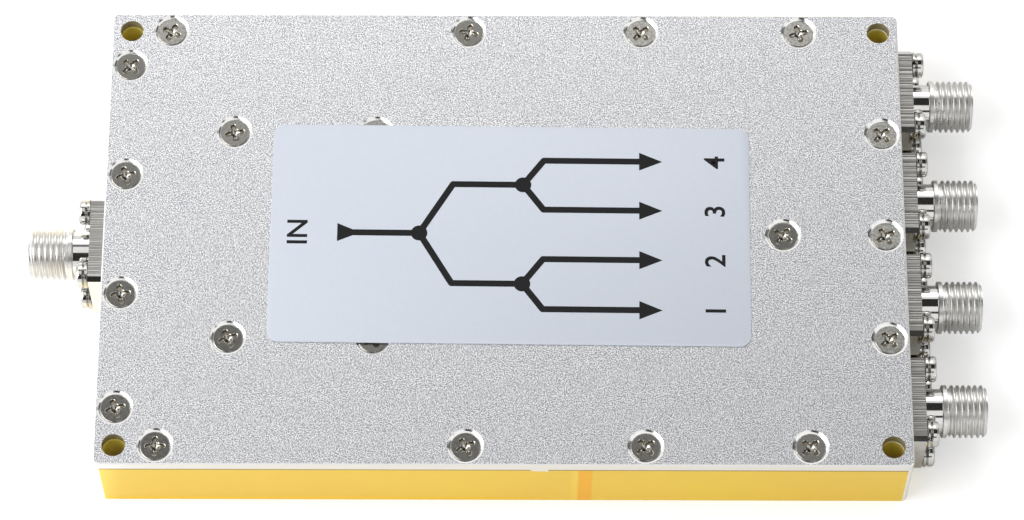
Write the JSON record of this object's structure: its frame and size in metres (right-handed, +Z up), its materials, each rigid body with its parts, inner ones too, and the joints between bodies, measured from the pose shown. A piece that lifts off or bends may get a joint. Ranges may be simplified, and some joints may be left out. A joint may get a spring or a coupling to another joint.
{
  "type": "rf power splitter",
  "caption": "Flat milled box with a screwed-on cover, a coaxial input jack at the near end and a row of coaxial output jacks at the far end, for sharing radio-frequency power.",
  "frame": {"origin": "middle of the underside of the housing", "axes": "+X from the input jack to the output jacks, +Z up towards the cover, +Y across the housing"},
  "size_m": [0.1156, 0.06, 0.0116],
  "materials": {
    "housing": "milled, yellow chromate",
    "cover": "bead blasted, clear anodised",
    "cover_screws": "nickel plated, cross recess",
    "label": "printed film",
    "jack_shell": "white bronze plated, turned",
    "dielectric": "turned fluoropolymer",
    "contact": "gold plated",
    "flange_screws": "nickel plated",
    "spring_washers": "nickel plated",
    "circuit_board": "woven glass and fluoropolymer laminate",
    "divider_traces": "gold-flashed copper",
    "isolation_resistors": "ceramic chip",
    "solder_joints": "tin solder",
    "board_screws": "stainless"
  },
  "bodies": {
    "root": {"housing": "housing", "cover": "cover", "cover_screws": "cover_screws", "label": "label", "input_shell": "jack_shell", "input_dielectric": "dielectric", "input_contact": "contact", "output_1_shell": "jack_shell", "output_1_dielectric": "dielectric", "output_1_contact": "contact", "output_2_shell": "jack_shell", "output_2_dielectric": "dielectric", "output_2_contact": "contact", "output_3_shell": "jack_shell", "output_3_dielectric": "dielectric", "output_3_contact": "contact", "output_4_shell": "jack_shell", "output_4_dielectric": "dielectric", "output_4_contact": "contact", "flange_screws": "flange_screws", "spring_washers": "spring_washers", "circuit_board": "circuit_board", "divider_traces": "divider_traces", "isolation_resistors": "isolation_resistors", "solder_joints": "solder_joints", "board_screws": "board_screws"}
  },
  "joints": []
}
